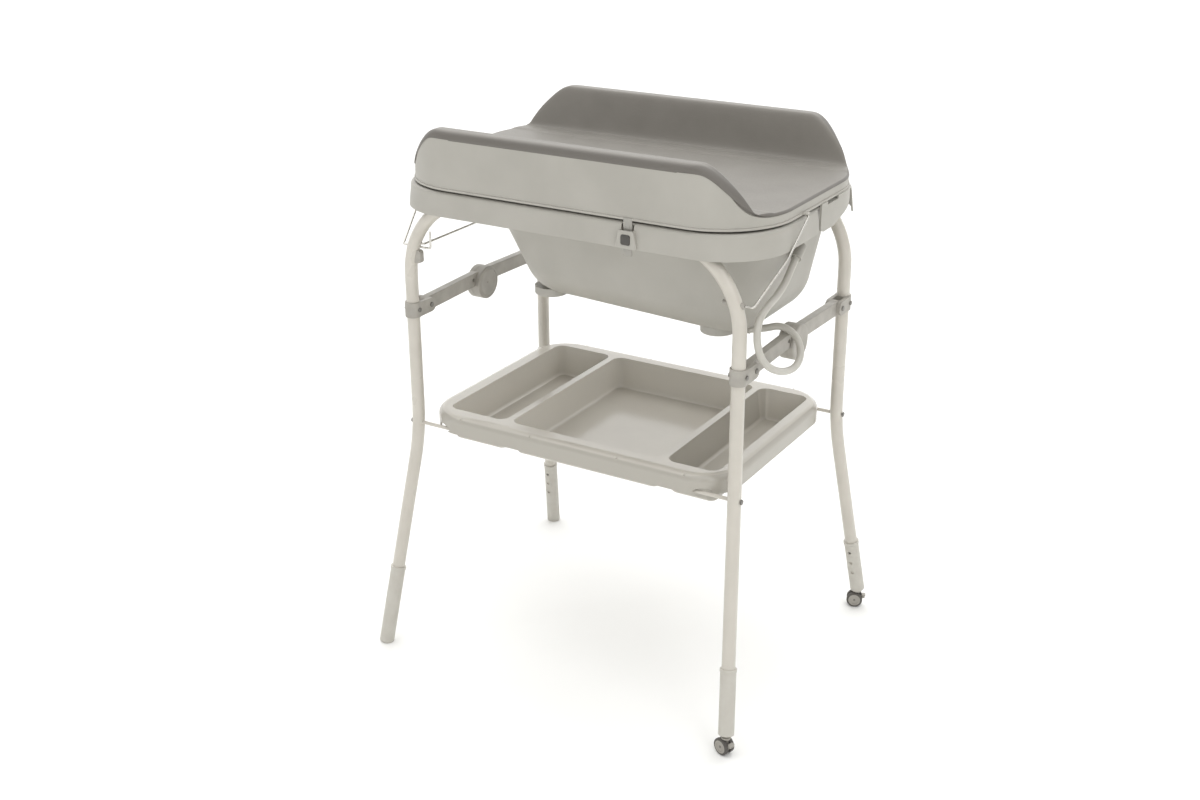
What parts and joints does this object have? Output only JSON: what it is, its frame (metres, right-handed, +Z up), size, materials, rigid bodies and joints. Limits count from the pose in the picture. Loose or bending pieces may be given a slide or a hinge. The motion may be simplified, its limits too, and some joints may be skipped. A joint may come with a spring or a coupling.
{
  "type": "changing table",
  "caption": "Folding changing table: padded changing board hinged over a baby bath, utility tray, tubular legs with height sleeves and casters.",
  "frame": {"origin": "on the floor, at the middle of the stand", "axes": "+Z up, +X to the user's right along the table, +Y away from the user, who stands on the -Y side"},
  "size_m": [0.8086, 0.6658, 1.062],
  "materials": {
    "frame_paint": "satin powder coat, warm off-white",
    "steel_rod": "satin",
    "steel_wire": "bright drawn wire",
    "screw_steel": "plain steel",
    "brace_plastic": "fine matte",
    "bath_plastic": "fine matte",
    "tray_plastic": "semi-gloss",
    "dark_plastic": "matte",
    "clear_plastic": "translucent",
    "hose_pvc": "translucent",
    "pad_foam": "soft matte skin",
    "caster_plastic": "matte",
    "tread_rubber": "matte"
  },
  "bodies": {
    "front_frame": {"frame_tube_front": "frame_paint", "tray_rod_front": "steel_rod", "rod_screws_front": "screw_steel", "clamp_front_left": "brace_plastic", "clamp_front_right": "brace_plastic", "brace_pins_front": "screw_steel", "clamp_screws_front": "screw_steel", "frame_stay_wire": "steel_wire", "stay_bushes": "brace_plastic"},
    "rear_frame": {"frame_tube_rear": "frame_paint", "tray_rod_rear": "steel_rod", "rod_screws_rear": "screw_steel", "clamp_rear_left": "brace_plastic", "clamp_rear_right": "brace_plastic", "brace_pins_rear": "screw_steel", "clamp_screws_rear": "screw_steel"},
    "bath": {"bath_shell": "bath_plastic", "bath_feet": "bath_plastic", "drain_fitting": "bath_plastic", "drain_hose": "hose_pvc", "hose_clip": "bath_plastic", "latch_housing": "bath_plastic", "hinge_pins": "screw_steel"},
    "drain_plug": {"drain_plug": "dark_plastic"},
    "latch_button": {"latch_button": "dark_plastic"},
    "board": {"board_shell": "bath_plastic", "pad": "pad_foam", "board_ear_left": "bath_plastic", "board_ear_right": "bath_plastic", "catch_strap": "clear_plastic"},
    "tray": {"tray": "tray_plastic"},
    "brace_front_left": {"brace_front_left": "brace_plastic", "brace_hub_pin_left": "screw_steel"},
    "brace_rear_left": {"brace_rear_left": "brace_plastic"},
    "lock_button_left": {"brace_lock_button_left": "brace_plastic"},
    "stay_wire_left": {"stay_wire_left": "steel_wire"},
    "brace_front_right": {"brace_front_right": "brace_plastic", "brace_hub_pin_right": "screw_steel"},
    "brace_rear_right": {"brace_rear_right": "brace_plastic"},
    "lock_button_right": {"brace_lock_button_right": "brace_plastic"},
    "stay_wire_right": {"stay_wire_right": "steel_wire"},
    "leg_sleeve_front_left": {"leg_sleeve_front_left": "brace_plastic"},
    "leg_button_front_left": {"leg_button_front_left": "screw_steel"},
    "leg_sleeve_front_right": {"leg_sleeve_front_right": "brace_plastic"},
    "leg_button_front_right": {"leg_button_front_right": "screw_steel"},
    "caster_front": {"caster_fork_front": "caster_plastic"},
    "wheels_front": {"caster_hubs_front": "caster_plastic", "caster_tyres_front": "tread_rubber", "caster_axle_front": "screw_steel"},
    "brake_front": {"caster_brake_front": "caster_plastic"},
    "leg_sleeve_rear_left": {"leg_sleeve_rear_left": "brace_plastic"},
    "leg_button_rear_left": {"leg_button_rear_left": "screw_steel"},
    "leg_sleeve_rear_right": {"leg_sleeve_rear_right": "brace_plastic"},
    "leg_button_rear_right": {"leg_button_rear_right": "screw_steel"},
    "caster_rear": {"caster_fork_rear": "caster_plastic"},
    "wheels_rear": {"caster_hubs_rear": "caster_plastic", "caster_tyres_rear": "tread_rubber", "caster_axle_rear": "screw_steel"},
    "brake_rear": {"caster_brake_rear": "caster_plastic"}
  },
  "joints": [
    {"name": "fold", "type": "hinge", "parent": "front_frame", "child": "brace_front_left", "pos_m": [-0.347, -0.189, 0.704], "axis": [1, 0, 0], "range_deg": [0, 80], "deforming": ["drain_hose"]},
    {"name": "fold_rear_left", "type": "hinge", "parent": "brace_front_left", "child": "brace_rear_left", "pos_m": [-0.347, 0, 0.6955], "axis": [1, 0, 0], "range_deg": [-161, 0]},
    {"name": "fold_rear_frame", "type": "hinge", "parent": "brace_rear_left", "child": "rear_frame", "pos_m": [-0.347, 0.189, 0.704], "axis": [1, 0, 0], "range_deg": [0, 81]},
    {"name": "fold_front_right", "type": "hinge", "parent": "front_frame", "child": "brace_front_right", "pos_m": [0.347, -0.189, 0.704], "axis": [1, 0, 0], "range_deg": [0, 81]},
    {"name": "fold_rear_right", "type": "hinge", "parent": "brace_front_right", "child": "brace_rear_right", "pos_m": [0.347, 0, 0.6955], "axis": [1, 0, 0], "range_deg": [-161, 0]},
    {"name": "lock_button_left_press", "type": "slide", "parent": "brace_front_left", "child": "lock_button_left", "axis": [-1, 0, 0], "range_m": [0, 0.0025], "stiffness_N_per_m": 400},
    {"name": "lock_button_right_press", "type": "slide", "parent": "brace_front_right", "child": "lock_button_right", "axis": [1, 0, 0], "range_m": [0, 0.0025], "stiffness_N_per_m": 400},
    {"name": "stay_wire_left_swing", "type": "hinge", "parent": "front_frame", "child": "stay_wire_left", "pos_m": [-0.335, -0.227, 0.831], "axis": [1, 0, 0], "range_deg": [-100, 0]},
    {"name": "stay_wire_right_swing", "type": "hinge", "parent": "front_frame", "child": "stay_wire_right", "pos_m": [0.335, -0.227, 0.831], "axis": [1, 0, 0], "range_deg": [-50, 0]},
    {"name": "tray_lift", "type": "slide", "parent": "front_frame", "child": "tray", "axis": [0, 0, 1], "range_m": [0, 0.3]},
    {"name": "bath_lift", "type": "slide", "parent": "front_frame", "child": "bath", "axis": [0, 0, 1], "range_m": [0, 0.45]},
    {"name": "board_tilt", "type": "hinge", "parent": "bath", "child": "board", "pos_m": [0, 0.259, 0.951], "axis": [1, 0, 0], "range_deg": [-92, 0]},
    {"name": "drain_plug_lift", "type": "slide", "parent": "bath", "child": "drain_plug", "axis": [0, 0, 1], "range_m": [0, 0.06]},
    {"name": "latch_press", "type": "slide", "parent": "bath", "child": "latch_button", "axis": [0, 1, 0], "range_m": [0, 0.0025], "stiffness_N_per_m": 300},
    {"name": "leg_sleeve_front_left_slide", "type": "slide", "parent": "front_frame", "child": "leg_sleeve_front_left", "axis": [-0.0936, -0.2003, -0.9753], "range_m": [0, 0.0512]},
    {"name": "leg_button_front_left_press", "type": "slide", "parent": "front_frame", "child": "leg_button_front_left", "axis": [0.0191, -0.9797, 0.1994], "range_m": [0, 0.003], "stiffness_N_per_m": 300},
    {"name": "leg_sleeve_front_right_slide", "type": "slide", "parent": "front_frame", "child": "leg_sleeve_front_right", "axis": [0.0936, -0.2003, -0.9753], "range_m": [0, 0.0512]},
    {"name": "leg_button_front_right_press", "type": "slide", "parent": "front_frame", "child": "leg_button_front_right", "axis": [-0.0191, -0.9797, 0.1994], "range_m": [0, 0.003], "stiffness_N_per_m": 300},
    {"name": "caster_front_swivel", "type": "hinge", "parent": "leg_sleeve_front_right", "child": "caster_front", "pos_m": [0.38606, -0.31058, 0.041], "axis": [0, 0, 1], "continuous": true},
    {"name": "caster_front_roll", "type": "hinge", "parent": "caster_front", "child": "wheels_front", "pos_m": [0.38184, -0.30904, 0.0165], "axis": [0.342, 0.9397, 0], "continuous": true},
    {"name": "brake_front_press", "type": "hinge", "parent": "caster_front", "child": "brake_front", "pos_m": [0.39828, -0.31503, 0.0215], "axis": [0.342, 0.9397, 0], "range_deg": [0, 8]},
    {"name": "leg_sleeve_rear_left_slide", "type": "slide", "parent": "rear_frame", "child": "leg_sleeve_rear_left", "axis": [-0.0936, 0.2003, -0.9753], "range_m": [0, 0.0512]},
    {"name": "leg_button_rear_left_press", "type": "slide", "parent": "rear_frame", "child": "leg_button_rear_left", "axis": [0.0191, 0.9797, 0.1994], "range_m": [0, 0.003], "stiffness_N_per_m": 300},
    {"name": "leg_sleeve_rear_right_slide", "type": "slide", "parent": "rear_frame", "child": "leg_sleeve_rear_right", "axis": [0.0936, 0.2003, -0.9753], "range_m": [0, 0.0512]},
    {"name": "leg_button_rear_right_press", "type": "slide", "parent": "rear_frame", "child": "leg_button_rear_right", "axis": [-0.0191, 0.9797, 0.1994], "range_m": [0, 0.003], "stiffness_N_per_m": 300},
    {"name": "caster_rear_swivel", "type": "hinge", "parent": "leg_sleeve_rear_right", "child": "caster_rear", "pos_m": [0.38606, 0.31058, 0.041], "axis": [0, 0, 1], "continuous": true},
    {"name": "caster_rear_roll", "type": "hinge", "parent": "caster_rear", "child": "wheels_rear", "pos_m": [0.38184, 0.30904, 0.0165], "axis": [-0.342, 0.9397, 0], "continuous": true},
    {"name": "brake_rear_press", "type": "hinge", "parent": "caster_rear", "child": "brake_rear", "pos_m": [0.39828, 0.31503, 0.0215], "axis": [-0.342, 0.9397, 0], "range_deg": [0, 8]}
  ],
  "couplings": [
    {"joint": "fold_rear_left", "follows": "fold", "ratio": -2},
    {"joint": "fold_rear_frame", "follows": "fold", "ratio": 1},
    {"joint": "fold_front_right", "follows": "fold", "ratio": 1},
    {"joint": "fold_rear_right", "follows": "fold", "ratio": -2},
    {"joint": "tray_lift", "follows": "fold", "m_per_rad": 0.2},
    {"joint": "bath_lift", "follows": "fold", "m_per_rad": 0.3}
  ]
}
